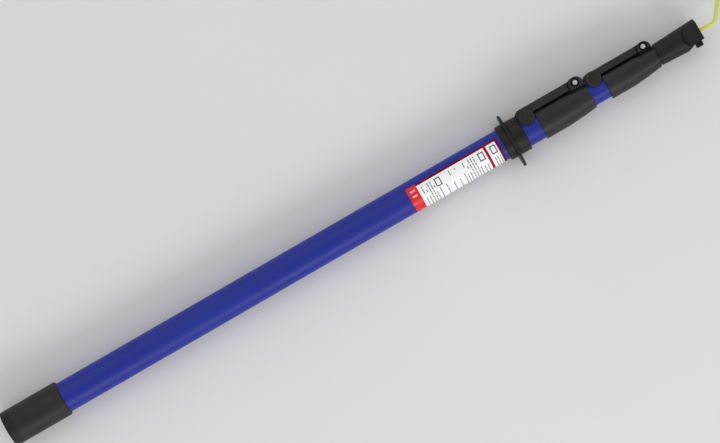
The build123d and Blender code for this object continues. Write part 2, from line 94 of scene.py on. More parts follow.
def tube_mesh(name, line, side, up, radius, finish, ring=False):
    """Closed tube: each point is line + radius * (cos(t) side + sin(t) up), t going once round.
    A ring runs into its own start; any other tube has a cap at each end."""
    rows, columns = radius.shape
    turn = np.linspace(0.0, 2.0 * np.pi, columns, endpoint=False)
    outward = np.cos(turn)[None, :, None] * side[:, None, :] + np.sin(turn)[None, :, None] * up[:, None, :]
    points = line[:, None, :] + radius[:, :, None] * outward
    faces = grid_quads(rows, columns, True, ring)[:, ::-1].tolist()
    if not ring:
        faces.append(list(range(columns)))
        faces.append(list(range((rows - 1) * columns, rows * columns))[::-1])
    return new_piece(name, points, faces, finish)


def flip_outwards(obj):
    """Turns faces so that they point outwards."""
    shell = bmesh.new()
    shell.from_mesh(obj.data)
    bmesh.ops.recalc_face_normals(shell, faces=shell.faces)
    shell.to_mesh(obj.data)
    shell.free()


# ---- materials ----
def paint(red, green, blue):
    """Linear colour of a paint sample given in display values from 0 to 255."""
    display = np.array([red, green, blue]) / 255.0
    linear = np.where(display <= 0.04045, display / 12.92, ((display + 0.055) / 1.055) ** 2.4)
    return (*[float(v) for v in linear], 1.0)


class Finish:
    """One procedural material.  Its calls add a node, link what is given and return the output."""

    def __init__(self, name, roughness, specular=0.5, metallic=0.0):
        self.material = bpy.data.materials.new(name)
        self.material.use_nodes = True
        self.tree = self.material.node_tree
        self.shader = self.tree.nodes["Principled BSDF"]
        self.shader.inputs["Roughness"].default_value = roughness
        self.shader.inputs["Specular IOR Level"].default_value = specular
        self.shader.inputs["Metallic"].default_value = metallic

    def add(self, kind, out, settings=(), **inputs):
        """Inputs go by name, with _ for each space, or by number after a leading _."""
        node = self.tree.nodes.new(kind)
        for key, value in dict(settings).items():
            setattr(node, key, value)
        for key, value in inputs.items():
            socket = int(key[1:]) if key[0] == "_" else key.replace("_", " ")
            self.give(node.inputs[socket], value)
        return node.outputs[out]

    def give(self, socket, value):
        """Links another node's output, or sets a plain value."""
        if isinstance(value, bpy.types.NodeSocket):
            self.tree.links.new(value, socket)
        else:
            socket.default_value = value

    def place(self, scale=(1.0, 1.0, 1.0), source="Object"):
        """Coordinates that a pattern is laid in, squeezed by scale."""
        where = self.add("ShaderNodeTexCoord", source)
        return self.add("ShaderNodeMapping", "Vector", Vector=where, Scale=scale)

    def noise(self, size, scale=(1.0, 1.0, 1.0), detail=3.0):
        """Noise whose lumps are about size metres across, squeezed by scale."""
        where = self.place(scale)
        return self.add("ShaderNodeTexNoise", "Fac", Vector=where, Scale=1.0 / size, Detail=detail)

    def spread(self, value, low, high, to_low, to_high):
        """Value from low..high to to_low..to_high, clamped."""
        return self.add(
            "ShaderNodeMapRange", "Result",
            Value=value, From_Min=low, From_Max=high, To_Min=to_low, To_Max=to_high,
        )

    def mix(self, share, first, second):
        """First colour at share 0, second at 1."""
        return self.add("ShaderNodeMix", 2, {"data_type": "RGBA"}, _0=share, _6=first, _7=second)

    def maths(self, operation, first, second):
        """One sum on two values."""
        return self.add("ShaderNodeMath", "Value", {"operation": operation}, _0=first, _1=second)

    def place_parts(self):
        """The piece's own x, y and z."""
        where = self.add("ShaderNodeTexCoord", "Object")
        return self.add("ShaderNodeSeparateXYZ", 0, Vector=where).node.outputs

    def band(self, value, rise, full, full_end, fall):
        """1 from full to full_end, falling to 0 at rise and at fall."""
        up = self.spread(value, rise, full, 0.0, 1.0)
        return self.maths("MULTIPLY", up, self.spread(value, full_end, fall, 1.0, 0.0))

    def reach(self, centre, **parts):
        """Distance from centre, over the given parts of the place only."""
        across = self.add("ShaderNodeCombineXYZ", 0, **parts)
        return self.add("ShaderNodeVectorMath", "Value", {"operation": "DISTANCE"}, _0=across, _1=centre)

    def in_recess(self, radius, ledge):
        """1 on the levers' side above the ledge and nearer the pole's axis than radius, else 0."""
        _, y, z = self.place_parts()
        near = self.spread(self.reach((0.0, 0.0, 0.0), Y=y, Z=z), radius, radius + 0.0003, 1.0, 0.0)
        return self.maths("MULTIPLY", near, self.spread(y, ledge - 0.0003, ledge, 0.0, 1.0))

    def near_axis(self, place, radius):
        """1 within radius of an upright axis, fading to 0 over the next half millimetre."""
        x, y, _ = self.place_parts()
        return self.spread(self.reach((*place, 0.0), X=x, Y=y), radius, radius + 0.0005, 1.0, 0.0)

    def relief(self, height, depth, under=None):
        """Normals of a surface that rises by depth metres where height goes from 0 to 1."""
        inputs = {"Height": height, "Distance": depth, "Strength": 1.0}
        if under is not None:
            inputs["Normal"] = under
        return self.add("ShaderNodeBump", "Normal", **inputs)

    def done(self, colour=None, roughness=None, normal=None):
        """Links the finished patterns to the shader and returns the material."""
        for name, value in (("Base Color", colour), ("Roughness", roughness), ("Normal", normal)):
            if value is not None:
                self.give(self.shader.inputs[name], value)
        return self.material


def moulded(name, dark, light, roughness, grain, grain_depth, specular=0.4, rub=None, shade=None):
    """Moulded plastic or rubber: slow drift of tone, fine spark-eroded grain and paler rubbed specks.
    Shade gives the share of painted shade, from 0 to 1, in its corners and gaps, where the tone goes near
    black."""
    f = Finish(name, roughness, specular)
    drift = f.noise(0.035)
    tone = f.mix(f.spread(drift, 0.3, 0.7, 0.0, 1.0), dark, light)
    specks = f.noise(grain, detail=4.0)
    if rub is not None:
        patches = f.noise(0.018, scale=(0.6, 1.0, 1.0), detail=6.0)
        tone = f.mix(f.spread(patches, 0.6, 0.78, 0.0, 0.55), tone, rub)
    tone = f.mix(f.spread(specks, 0.5, 0.85, 0.0, 0.35), tone, light)
    rough = f.spread(specks, 0.3, 0.7, roughness - 0.06, roughness + 0.08)
    if shade is not None:
        deep = shade(f)
        # Painted shade: the tone goes near black where the shade mask is high.
        tone = f.mix(deep, tone, paint(2, 2, 2))
        rough = f.maths("MAXIMUM", rough, deep)
    return f.done(tone, rough, f.relief(specks, grain_depth))


def painted_tube(name, dark, light, scratch, roughness, wear_from, painted_shade_from=None):
    """Satin tube: streaks drawn out along the pole, a slight ripple and long faint handling scratches.
    From one place along the pole onwards the tone goes nearly black: painted shade for the narrow gap at the
    nose."""
    f = Finish(name, roughness, 0.26)
    streak = f.noise(0.0022, scale=(0.02, 1.0, 1.0), detail=4.0)
    drift = f.noise(0.06, scale=(0.35, 1.0, 1.0))
    tone = f.mix(f.spread(streak, 0.3, 0.7, 0.0, 1.0), dark, light)
    tone = f.mix(f.spread(drift, 0.35, 0.7, 0.0, 0.35), tone, light)
    scratches = f.noise(0.0011, scale=(0.012, 1.0, 1.0), detail=5.0)
    tone = f.mix(f.spread(scratches, wear_from, wear_from + 0.12, 0.0, 0.5), tone, scratch)
    if painted_shade_from is not None:
        x, _, _ = f.place_parts()
        # Painted shade: the tone goes nearly black past the given place along the pole.
        tone = f.mix(f.spread(x, painted_shade_from - 0.0012, painted_shade_from, 0.0, 0.93), tone, paint(12, 12, 16))
    rough = f.spread(drift, 0.3, 0.7, roughness - 0.04, roughness + 0.06)
    fine = f.relief(streak, 0.00002)
    return f.done(tone, rough, f.relief(f.noise(0.0006, detail=2.0), 0.00001, under=fine))


def print_finish(name, tone, faded, roughness, specular=0.35):
    """Printed film: ink with a faint mottle, and slightly uneven gloss."""
    f = Finish(name, roughness, specular)
    mottle = f.noise(0.0018, detail=4.0)
    cloud = f.noise(0.02)
    colour = f.mix(f.spread(mottle, 0.35, 0.75, 0.0, 0.6), tone, faded)
    rough = f.spread(cloud, 0.3, 0.7, roughness - 0.07, roughness + 0.07)
    return f.done(colour, rough, f.relief(mottle, 0.000008))


PIN_BRIGHT_R = 0.0026
PIN_WELL_R = 0.0049


def turned_steel(name, head=None):
    """Turned stainless steel: fine rings round the pins' own direction, and patchy polish.
    A head has a bright middle and, round it, a dark ring painted on as painted shade."""
    f = Finish(name, 0.3, 0.5, metallic=1.0)
    lines = f.noise(0.0004, scale=(1.0, 1.0, 0.05), detail=2.0)
    cloud = f.noise(0.002)
    colour = f.mix(cloud, paint(192, 192, 194), paint(226, 226, 226))
    if head is not None:
        # Painted shade: outside the bright middle the pin head is painted dark.
        colour = f.mix(f.near_axis(head, PIN_BRIGHT_R), paint(58, 58, 60), colour)
    return f.done(colour, f.spread(lines, 0.3, 0.7, 0.22, 0.42), f.relief(lines, 0.00001))


def braid_finish(name):
    """Braided cord: strands paler on their crowns, darker and greener in the grooves as painted shade, fine
    fibres along.
    """
    f = Finish(name, 0.62, 0.25)
    f.shader.inputs["Sheen Weight"].default_value = 0.25
    crown = f.add("ShaderNodeAttribute", "Fac", {"attribute_name": "crown"})
    fibres = f.noise(0.00035, detail=3.0)
    # Painted shade: the tone darkens with the depth of the grooves between strands.
    tone = f.mix(f.spread(crown, 0.1, 0.9, 0.0, 1.0), paint(176, 178, 56), paint(242, 244, 120))
    tone = f.mix(f.spread(fibres, 0.4, 0.8, 0.0, 0.5), tone, paint(230, 232, 146))
    return f.done(tone, f.spread(fibres, 0.3, 0.7, 0.5, 0.72), f.relief(fibres, 0.00008))


def cord_core_finish(name):
    """The same yarn where the solid cord shows, in the nose's bore: crossed waves for the strands."""
    f = Finish(name, 0.62, 0.25)
    strands = f.add(
        "ShaderNodeTexWave", "Fac", {"bands_direction": "DIAGONAL"},
        Vector=f.place(), Scale=160.0, Distortion=1.5,
    )
    fibres = f.noise(0.00035)
    tone = f.mix(strands, paint(160, 162, 70), paint(214, 216, 124))
    return f.done(tone, f.spread(fibres, 0.3, 0.7, 0.5, 0.72), f.relief(strands, 0.0002))


def webbing_finish(name):
    """Woven webbing, from the strap's own lengthwise and crosswise coordinates."""
    f = Finish(name, 0.85, 0.2)
    f.shader.inputs["Sheen Weight"].default_value = 0.3
    uv = f.place(source="UV")
    lengthwise = f.add("ShaderNodeTexWave", "Fac", {"bands_direction": "X"}, Vector=uv, Scale=260.0)
    crosswise = f.add("ShaderNodeTexWave", "Fac", {"bands_direction": "Y"}, Vector=uv, Scale=200.0)
    weave = f.maths("MULTIPLY", lengthwise, crosswise)
    lint = f.noise(0.0008, detail=4.0)
    tone = f.mix(weave, paint(22, 22, 23), paint(52, 52, 54))
    tone = f.mix(f.spread(lint, 0.6, 0.85, 0.0, 0.4), tone, paint(84, 84, 86))
    return f.done(tone, f.spread(lint, 0.3, 0.7, 0.78, 0.92), f.relief(weave, 0.00025))


def clamp_finish(name, shade=None):
    """Glass-filled nylon of the clamps and levers."""
    return moulded(
        name, paint(31, 31, 31), paint(38, 38, 38), roughness=0.45, grain=0.0006, grain_depth=0.00004,
        specular=0.31, rub=paint(49, 49, 49), shade=shade,
    )


def bed_shade(number, recess_r, ledge, lip_top):
    """Painted shade on one clamp's body: in the bed under the lever, on the lip below it and in the pin's
    wells.
    The lip is a band in y that dips towards the pin."""
    pin = pin_axis(number)
    dip_start, dip_end, dip_depth = pin[0] - 0.018, pin[0] - 0.008, 0.0018
    bed_share = 0.8

    def shade(f):
        x, y, _ = f.place_parts()
        dip = f.spread(x, dip_start, dip_end, 0.0, dip_depth)
        lip = f.band(f.maths("ADD", y, dip), ledge - 0.0022, ledge + 0.0004, lip_top, lip_top + 0.0008)
        well = f.near_axis(pin, PIN_WELL_R)
        bed = f.maths("MULTIPLY", f.in_recess(recess_r, ledge), bed_share)
        return f.maths("MAXIMUM", bed, f.maths("MAXIMUM", lip, well))

    return shade


def lever_shade(number, arm_low):
    """Painted shade along the lower edge of one lever's arm, between its lobe and its pivot."""
    lobe_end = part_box(f"clamp_{number}_body")[0].x

    def shade(f):
        x, y, _ = f.place_parts()
        edge = f.spread(y, arm_low + 0.0002, arm_low + 0.0014, 1.0, 0.0)
        return f.maths("MULTIPLY", edge, f.spread(x, lobe_end, lobe_end + 0.001, 0.0, 1.0))

    return shade


def ring_shade(f):
    """Painted shade on the collar's rings beside the wing plate."""
    x, _, _ = f.place_parts()
    near, far, share = 0.0014, 0.0034, 0.55
    beside = f.band(x, PLATE[0].x - far, PLATE[0].x - near, PLATE[1].x + near, PLATE[1].x + far)
    return f.maths("MULTIPLY", beside, share)


def nose_shade(f):
    """Painted shade in the corner where the nose's flat starts, along an arc round the tool end."""
    x, y, _ = f.place_parts()
    middle = NOSE_END - 0.0088
    arc = f.band(f.reach((middle, 0.0, 0.0), X=x, Y=y), 0.0126, 0.0134, 0.0142, 0.0150)
    behind = f.spread(x, middle - 0.0095, middle - 0.0075, 0.7, 0.0)
    return f.maths("MULTIPLY", arc, behind)


TUBE_LOOK = {
    "dark": paint(25, 38, 139), "light": paint(34, 47, 149), "scratch": paint(70, 82, 170),
    "roughness": 0.4, "wear_from": 0.72,
}
FINISHES = {
    "butt_rubber": moulded(
        "butt_rubber", paint(34, 32, 33), paint(41, 39, 40), roughness=0.5, grain=0.0009, grain_depth=0.00005,
        specular=0.28, rub=paint(54, 52, 52),
    ),
    "soft_rubber": moulded(
        "soft_rubber", paint(34, 36, 31), paint(41, 43, 38), roughness=0.6, grain=0.0005, grain_depth=0.00006,
        specular=0.2,
    ),
    "collar_black": moulded(
        "collar_black", paint(24, 21, 15), paint(31, 28, 22), roughness=0.47, grain=0.0007,
        grain_depth=0.00004, specular=0.26, rub=paint(45, 42, 37), shade=ring_shade,
    ),
    "clamp_black": clamp_finish("clamp_black"),
    "nose_black": moulded(
        "nose_black", paint(21, 22, 20), paint(29, 30, 28), roughness=0.5, grain=0.0007, grain_depth=0.00004,
        specular=0.24, rub=paint(43, 43, 41), shade=nose_shade,
    ),
    "blue_tube": painted_tube("blue_tube", **TUBE_LOOK),
    "label_film": print_finish("label_film", paint(253, 252, 254), paint(247, 247, 250), roughness=0.34),
    "pale_plastic": moulded(
        "pale_plastic", paint(214, 212, 204), paint(228, 226, 220), roughness=0.45, grain=0.0006,
        grain_depth=0.00002,
    ),
    "bright_steel": turned_steel("bright_steel"),
    "yellow_cord": cord_core_finish("cord_core"),
    "tie_webbing": webbing_finish("tie_webbing"),
}
OWN_FINISHES = {
    "butt_foot": moulded(
        "butt_foot_black", paint(27, 27, 27), paint(34, 34, 34), roughness=0.55, grain=0.0009,
        grain_depth=0.00005, specular=0.25, rub=paint(44, 44, 44),
    ),
    # Wing plate: its own greener tone, and a little lighter than the collar's rings as a painted highlight
    # for its lit rim.
    "wing_plate": moulded(
        "wing_plate_black", paint(29, 31, 29), paint(36, 38, 36), roughness=0.47, grain=0.0007,
        grain_depth=0.00004, specular=0.28, rub=paint(48, 49, 47),
    ),
    "clamp_1_body": clamp_finish(
        "clamp_1_black", bed_shade(1, recess_r=0.02012, ledge=0.0126, lip_top=0.0156)
    ),
    "clamp_2_body": clamp_finish(
        "clamp_2_black", bed_shade(2, recess_r=0.01687, ledge=0.0107, lip_top=0.0152)
    ),
    "lever_1": clamp_finish("lever_1_black", lever_shade(1, arm_low=0.0154)),
    "lever_2": clamp_finish("lever_2_black", lever_shade(2, arm_low=0.0135)),
    "clamp_1_pin": turned_steel("pin_1_steel", head=pin_axis(1)),
    "clamp_2_pin": turned_steel("pin_2_steel", head=pin_axis(2)),
    # Painted shade on the tip tube in the gap behind the nose sleeve.
    "tip_tube": painted_tube("tip_tube_blue", **TUBE_LOOK, painted_shade_from=NOSE_START - 0.0018),
}
RED_INK = print_finish("red_ink", paint(224, 28, 36), paint(234, 40, 48), roughness=0.34)
BAR_INK = print_finish("bar_ink", paint(164, 0, 26), paint(176, 6, 34), roughness=0.45, specular=0.12)
BORDER_INK = print_finish("border_ink", paint(112, 0, 26), paint(126, 4, 34), roughness=0.5, specular=0.1)
GREY_INK = print_finish("grey_ink", paint(92, 94, 98), paint(126, 128, 132), roughness=0.4)
WHITE_INK = print_finish("white_ink", paint(244, 240, 242), paint(232, 229, 233), roughness=0.34)
CORD_BRAID = braid_finish("cord_braid")


def finish_nodes():
    """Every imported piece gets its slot's finish."""
    slots = {piece["node"]: piece["material_slot"] for piece in frame["record"]["subparts"]}
    for name, obj in frame["nodes"].items():
        finish = OWN_FINISHES.get(name, FINISHES[slots[name]])
        for slot in obj.material_slots:
            slot.material = finish


# ---- printed label ----
FILM_SINK = 0.00006
INK_HEIGHT = 0.00004
EDGE_Y = 0.0107
WRAP = math.radians(160.0)
TOP_TURN = math.asin(EDGE_Y / LABEL_R)
LOW_TURN = TOP_TURN - WRAP
INK_STEP = math.radians(2.5)
DASH_WIDTH = 0.0011
DASH_GAP = 0.0009
DASH_LENGTHS = (0.0018, 0.0066)
DASHES = 40
FRAME_LINE = 1.4


def ink_shell(x0, x1, turn0, turn1):
    """Thin closed shell over the film: a grid in x and in the turn about X, at an outer and inner radius."""
    columns = max(2, int(abs(turn1 - turn0) / INK_STEP) + 2)
    turn = np.linspace(turn0, turn1, columns)
    across = np.array([x0, x1])
    radii = np.array([LABEL_R + INK_HEIGHT, LABEL_R - FILM_SINK])
    x = np.broadcast_to(across[None, :, None], (2, 2, columns))
    y = radii[:, None, None] * np.sin(turn)[None, None, :] * np.ones((1, 2, 1))
    z = radii[:, None, None] * np.cos(turn)[None, None, :] * np.ones((1, 2, 1))
    points = np.stack([x, y, z], axis=-1).reshape(-1, 3)
    outer = grid_quads(2, columns, False)
    inner = outer[:, ::-1] + 2 * columns
    rim = np.concatenate([np.arange(columns), np.arange(2 * columns - 1, columns - 1, -1)])
    after = np.roll(rim, -1)
    wall = np.stack([after, rim, rim + 2 * columns, after + 2 * columns], axis=-1)
    return points, np.concatenate([outer, inner, wall])


def turn_at(y):
    """Turn about X from straight up at which the label's surface is this many millimetres to the side."""
    return math.asin(y * MM / LABEL_R)


def along(place):
    """Place along the pole of a point this many millimetres past the label's rear end."""
    return LABEL_START + place * MM


def ink(name, patches, finish):
    """All patches of one ink as one piece: each patch is (x0, x1, turn0, turn1)."""
    points, quads, count = [], [], 0
    for patch in patches:
        p, q = ink_shell(*patch)
        points.append(p)
        quads.append(q + count)
        count += len(p)
    obj = new_piece(name, np.concatenate(points), np.concatenate(quads).tolist(), finish, smooth=False)
    flip_outwards(obj)
    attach(obj, "handle")
    return obj


def rows(places, start, end, draws):
    """Rows of plain dashes round the pole.  Each place is in millimetres along the label, start and end
    in metres of arc below its upper edge."""
    out = []
    for place in places:
        x = along(place)
        lengths = draws.uniform(*DASH_LENGTHS, DASHES)
        stops = start + np.cumsum(lengths + DASH_GAP)
        for stop, length in zip(stops, lengths):
            if stop < end:
                turn = TOP_TURN - stop / LABEL_R
                out.append((x, x + DASH_WIDTH, turn, turn + length / LABEL_R))
    return out


def frame_outline(start, end, low, high):
    """Four bars round an empty rectangle, given in millimetres along the label and to the side."""
    x0, x1 = along(start), along(end)
    turn0, turn1 = turn_at(low), turn_at(high)
    line = FRAME_LINE * MM
    thick = line / LABEL_R
    return [
        (x0, x0 + line, turn0, turn1),
        (x1 - line, x1, turn0, turn1),
        (x0 + line, x1 - line, turn0, turn0 + thick),
        (x0 + line, x1 - line, turn1 - thick, turn1),
    ]


def print_label():
    """Red ground, bars, border, plain dashes and empty frames on the white film."""
    border_turn, border_width = math.radians(8.2), 3.0 * MM
    red_end, bar, bar_end, edge = along(13.3), along(104.1), along(107.4), LABEL_END - border_width
    ink("label_red", [(LABEL_START, red_end, LOW_TURN, TOP_TURN)], RED_INK)
    ink("label_bar", [(bar, bar_end, LOW_TURN, TOP_TURN)], BAR_INK)
    rim = [(edge, LABEL_END, LOW_TURN, TOP_TURN)]
    for x0, x1 in ((red_end, bar), (bar_end, edge)):
        rim.append((x0, x1, TOP_TURN - border_turn, TOP_TURN))
        rim.append((x0, x1, LOW_TURN, LOW_TURN + border_turn))
    ink("label_border", rim, BORDER_INK)
    bars = [(along(3.5), along(10.0), turn_at(low), turn_at(low + 2.4)) for low in (3.6, -2.8)]
    ink("label_bars", bars, WHITE_INK)
    draws = np.random.default_rng(5)
    grey = []
    for places, start, end in (
        ([25.4, 28.8, 81.0, 84.4, 87.8], 0.0050, 0.046),
        ([17.6, 73.6, 54.8, 62.6], 0.0056, 0.0160),
        ([21.6, 31.8, 77.2, 91.2], 0.0120, 0.0165),
        ([17.6, 21.6, 31.8, 54.8, 62.6, 73.6, 77.2, 91.2], 0.0205, 0.045),
        ([37.0, 45.6, 70.0], 0.0175, 0.045),
        ([96.0, 99.8], 0.0225, 0.045),
        ([111.2, 114.4, 117.6], 0.0195, 0.045),
    ):
        grey += rows(places, start, end, draws)
    ink("label_rows", grey, GREY_INK)
    marks = frame_outline(35.0, 42.6, -5.2, 5.2)
    marks += frame_outline(94.2, 101.8, -5.2, 5.2)
    marks += frame_outline(110.7, 118.2, -5.0, 5.5)
    ink("label_frames", marks, GREY_INK)


# ---- lanyard ----
CORD_DIAMETER = 0.005
LINE_STEP = 0.0006

# Braid: strands each way, their pitch along the cord, the depth of the grooves between them, how far an
# upper strand sinks there as a share of its height, and the number of points round the cord
STRANDS = 6
STRAND_PITCH = 0.0031
GROOVE_DEPTH = 0.00022
STRAND_SINK = 0.45
ROUND_POINTS = 24

ROUTE = [
    (0.9473, 0.0, 0.0),
    (0.9592, -0.0003, -0.0005),
    (0.9683, -0.0005, -0.00156),
    (0.9757, 0.0083, -0.0060),
    (0.9831, 0.0171, -0.01053),
    (0.9957, 0.0339, -0.0195),
    (1.0069, 0.0505, -0.0195),
]
FLOOR_LAY = ROUTE[-1][2]

# Coil: its outermost turn, the spacing of its turns, and the turns at which it climbs to the next layer
COIL_R = 0.035
PITCH = 0.005
COIL_TURNS = 10
TURN_POINTS = 24
INNER_CLIMB = 3.5
OUTER_CLIMB = 6.5
CLIMB_TURNS = 0.5
CLIMB_BOW = 0.0021
LAST_TURN_R = COIL_R - 3.0 * PITCH
TOP_LAY = FLOOR_LAY + 2.0 * PITCH

# Where the turns rise over the tie that lies under them, and how far
LIFT = 0.0012
LIFT_REACH = 0.020
LIFT_RISE = 0.012

# Tail and end knot
TAIL_R = 0.0125
TAIL_TURN = math.radians(165.0)
TAIL_POINTS = 12
TAIL_LEVEL = 0.2
KNOT_R = 0.006
KNOT_POINTS = 220
KNOT_SCALE = 0.00135
KNOT_FLATNESS = 1.25
KNOT_CORD = 0.0042
KNOT_STRAND_PITCH = 0.0026


def coil_frame():
    """Centre of the coil and the angle at which the route joins its outermost turn."""
    last, before = np.array(ROUTE[-1]), np.array(ROUTE[-2])
    ahead = (last - before)[:2] / np.linalg.norm((last - before)[:2])
    centre = last[:2] + COIL_R * np.array([ahead[1], -ahead[0]])
    out = last[:2] - centre
    return centre, math.atan2(out[1], out[0])


def smooth(share):
    """Rise from 0 to 1 that starts and ends level."""
    return share * share * (3.0 - 2.0 * share)


def coil_points():
    """Radius and height as functions of the turns made: in over 3.5 turns on the floor, up and out over
    3, up again, and in over 3 more.  Each climb bows away from the turns beside it."""
    centre, start = coil_frame()
    turns = np.arange(1, COIL_TURNS * TURN_POINTS + 1) / TURN_POINTS
    inner_climb = np.clip((turns - INNER_CLIMB) / CLIMB_TURNS, 0.0, 1.0)
    outer_climb = np.clip((turns - OUTER_CLIMB) / CLIMB_TURNS, 0.0, 1.0)
    stops = [0.0, INNER_CLIMB, INNER_CLIMB + CLIMB_TURNS, OUTER_CLIMB, OUTER_CLIMB + CLIMB_TURNS, COIL_TURNS]
    pitches_in = np.array([0.0, 3.5, 3.0, 0.5, 0.0, 3.0])
    radius = np.interp(turns, stops, COIL_R - PITCH * pitches_in)
    radius = radius + CLIMB_BOW * (np.sin(np.pi * outer_climb) - np.sin(np.pi * inner_climb))
    height = PITCH * (smooth(inner_climb) + smooth(outer_climb))
    angle = start - 2 * np.pi * turns
    from_tie = np.abs((angle + np.pi) % (2 * np.pi) - np.pi) * radius
    over_tie = np.clip((LIFT_REACH - from_tie) / LIFT_RISE, 0.0, 1.0)
    control = radius / math.cos(math.pi / TURN_POINTS)
    x = centre[0] + control * np.cos(angle)
    y = centre[1] + control * np.sin(angle)
    return np.stack([x, y, FLOOR_LAY + height + LIFT * over_tie], axis=-1)


def tail_points():
    """From the innermost top turn, an arc of radius TAIL_R tangent to it curls down into the hole."""
    centre, start = coil_frame()
    pivot = centre + (LAST_TURN_R - TAIL_R) * np.array([math.cos(start), math.sin(start)])
    share = np.arange(1, TAIL_POINTS + 1) / TAIL_POINTS
    angle = start - TAIL_TURN * share
    fall = smooth(np.clip((share - TAIL_LEVEL) / (1.0 - TAIL_LEVEL), 0.0, 1.0))
    height = TOP_LAY + (FLOOR_Z + KNOT_R - TOP_LAY) * fall
    return np.stack([pivot[0] + TAIL_R * np.cos(angle), pivot[1] + TAIL_R * np.sin(angle), height], axis=-1)


def spline_line(points):
    """Points of the NURBS spline that these control points shape, evenly spaced, and the run to each."""
    curve = bpy.data.curves.new("lanyard_line", "CURVE")
    curve.dimensions = "3D"
    curve.resolution_u = 24
    spline = curve.splines.new("NURBS")
    spline.points.add(len(points) - 1)
    spline.points.foreach_set("co", np.concatenate([points, np.ones((len(points), 1))], axis=1).ravel())
    spline.order_u = 3
    spline.use_endpoint_u = True
    holder = bpy.data.objects.new("lanyard_line", curve)
    bpy.context.collection.objects.link(holder)
    mesh = bpy.data.meshes.new_from_object(holder)
    line = np.empty(len(mesh.vertices) * 3)
    mesh.vertices.foreach_get("co", line)
    line = line.reshape(-1, 3)
    bpy.data.objects.remove(holder)
    bpy.data.curves.remove(curve)
    bpy.data.meshes.remove(mesh)
    run = np.concatenate([[0.0], np.cumsum(np.linalg.norm(np.diff(line, axis=0), axis=1))])
    even = np.linspace(0.0, run[-1], int(run[-1] / LINE_STEP))
    return np.stack([np.interp(even, run, line[:, k]) for k in range(3)], axis=-1), even


def frames_along(line):
    """Sideways and upward unit vectors across a line that never stands upright."""
    ahead = np.gradient(line, axis=0)
    ahead /= np.linalg.norm(ahead, axis=1)[:, None]
    side = np.cross(ahead, np.array([0.0, 0.0, 1.0]))
    side /= np.linalg.norm(side, axis=1)[:, None]
    return side, np.cross(side, ahead)


def braided(name, line, run, thick, strand_pitch, ring=False):
    """Tube whose radius rises on the crown of the upper strand where two sets of helices cross.  Each
    strand is an arch, sin(pi s) over its share s of the turn, and the sets go over and under by turns."""
    if ring:
        around = frames_along(np.concatenate([line[-1:], line, line[:1]]))
        side, up = (vectors[1:-1] for vectors in around)
    else:
        side, up = frames_along(line)
    turn = np.arange(ROUND_POINTS)[None, :] / ROUND_POINTS * STRANDS
    ahead = run[:, None] / strand_pitch
    first, second = turn + ahead, turn - ahead
    crown_a, crown_b = np.sin(np.pi * (first % 1.0)), np.sin(np.pi * (second % 1.0))
    over = (np.floor(first) + np.floor(second)) % 2 < 1
    sunk_a, sunk_b = (1.0 - STRAND_SINK * (1.0 - crown) for crown in (crown_a, crown_b))
    crown = np.where(over, crown_a * sunk_b, crown_b * sunk_a)
    radius = thick / 2 - GROOVE_DEPTH * (1.0 - crown)
    obj = tube_mesh(name, line, side, up, radius, CORD_BRAID, ring)
    layer = obj.data.attributes.new("crown", "FLOAT", "POINT")
    layer.data.foreach_set("value", crown.ravel())
    return obj


def end_knot():
    """Overhand knot drawn tight: a tube along x = sin t + 2 sin 2t, y = cos t - 2 cos 2t, z = -sin 3t,
    scaled, and stretched a little in z."""
    t = np.linspace(0.0, 2 * np.pi, KNOT_POINTS, endpoint=False)
    x, y = np.sin(t) + 2 * np.sin(2 * t), np.cos(t) - 2 * np.cos(2 * t)
    line = tail_points()[-1] + KNOT_SCALE * np.stack([x, y, -KNOT_FLATNESS * np.sin(3 * t)], axis=-1)
    steps = np.linalg.norm(np.roll(line, -1, axis=0) - line, axis=1)
    strand_pitch = steps.sum() / round(steps.sum() / KNOT_STRAND_PITCH)
    obj = braided("lanyard_end_knot", line, np.cumsum(steps), KNOT_CORD, strand_pitch, ring=True)
    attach(obj, "tip_section")
    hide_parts("cord_end_knot")
    return obj


# Tie: a strap round the turns, from inside the coil's hole to outside its outermost turn
TIE_THICK = 0.0011
TIE_WIDE = 0.009
TIE_BEND = 0.003
TIE_INNER = 0.0148
TIE_OUTER = 0.0363
TIE_RINGS = 260
TIE_CORNERS = 20


def bend_arc(cx, cz, from_deg):
    """Quarter circle about a bend's centre, turning clockwise."""
    turn = math.radians(from_deg) - np.linspace(0.0, np.pi / 2, 8)
    return np.stack([cx + TIE_BEND * np.cos(turn), cz + TIE_BEND * np.sin(turn)], axis=-1)


def strap_line():
    """The strap's middle line in x from the coil's centre and z, evenly spaced, and the run to each point:
    once round the turns with four bends, and on over its own start, a little over one thickness up."""
    low = FLOOR_Z + TIE_THICK / 2
    high = TOP_LAY + LIFT + CORD_DIAMETER / 2 + TIE_THICK / 2
    over = high + 1.1 * TIE_THICK
    start, lap_end = 0.020, TIE_OUTER - 0.0048
    route = np.concatenate([
        [[start, high], [start + 0.006, high]],
        bend_arc(TIE_OUTER - TIE_BEND, high - TIE_BEND, 90.0),
        bend_arc(TIE_OUTER - TIE_BEND, low + TIE_BEND, 0.0),
        bend_arc(TIE_INNER + TIE_BEND, low + TIE_BEND, -90.0),
        bend_arc(TIE_INNER + TIE_BEND, high - TIE_BEND, -180.0),
        [[start - 0.0015, high + 0.0002], [start + 0.0005, over], [start + 0.006, over], [lap_end, over]],
    ])
    run = np.concatenate([[0.0], np.cumsum(np.linalg.norm(np.diff(route, axis=0), axis=1))])
    even = np.linspace(0.0, run[-1], TIE_RINGS)
    return np.stack([np.interp(even, run, route[:, k]) for k in (0, 1)], axis=-1), even


